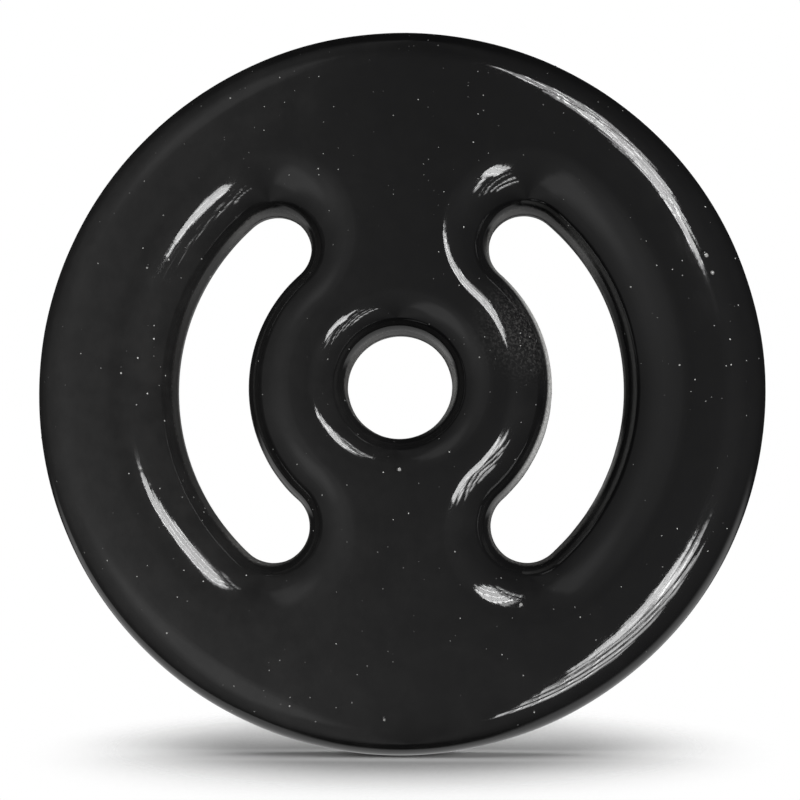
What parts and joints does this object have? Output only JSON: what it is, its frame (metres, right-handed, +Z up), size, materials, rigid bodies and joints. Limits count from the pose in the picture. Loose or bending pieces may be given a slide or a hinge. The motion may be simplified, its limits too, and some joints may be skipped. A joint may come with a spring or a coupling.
{
  "type": "rubber coated weight plate",
  "caption": "Round cast iron weight plate in a black moulded rubber coat, with a plain centre bore and curved hand slots beside it.",
  "frame": {"origin": "centre of the bore, half way through the plate, which is also the centre of its box", "axes": "+Y runs along the bore from the front face to the back face, and +Z is up as the plate stands on its rim with a hand slot on each side"},
  "size_m": [0.22, 0.032, 0.22],
  "materials": {
    "moulded_rubber": "black, glossy from the mould",
    "cast_iron": "as cast, sealed in the coat"
  },
  "bodies": {
    "root": {"front_coat": "moulded_rubber", "back_coat": "moulded_rubber", "iron_core": "cast_iron"}
  },
  "joints": []
}
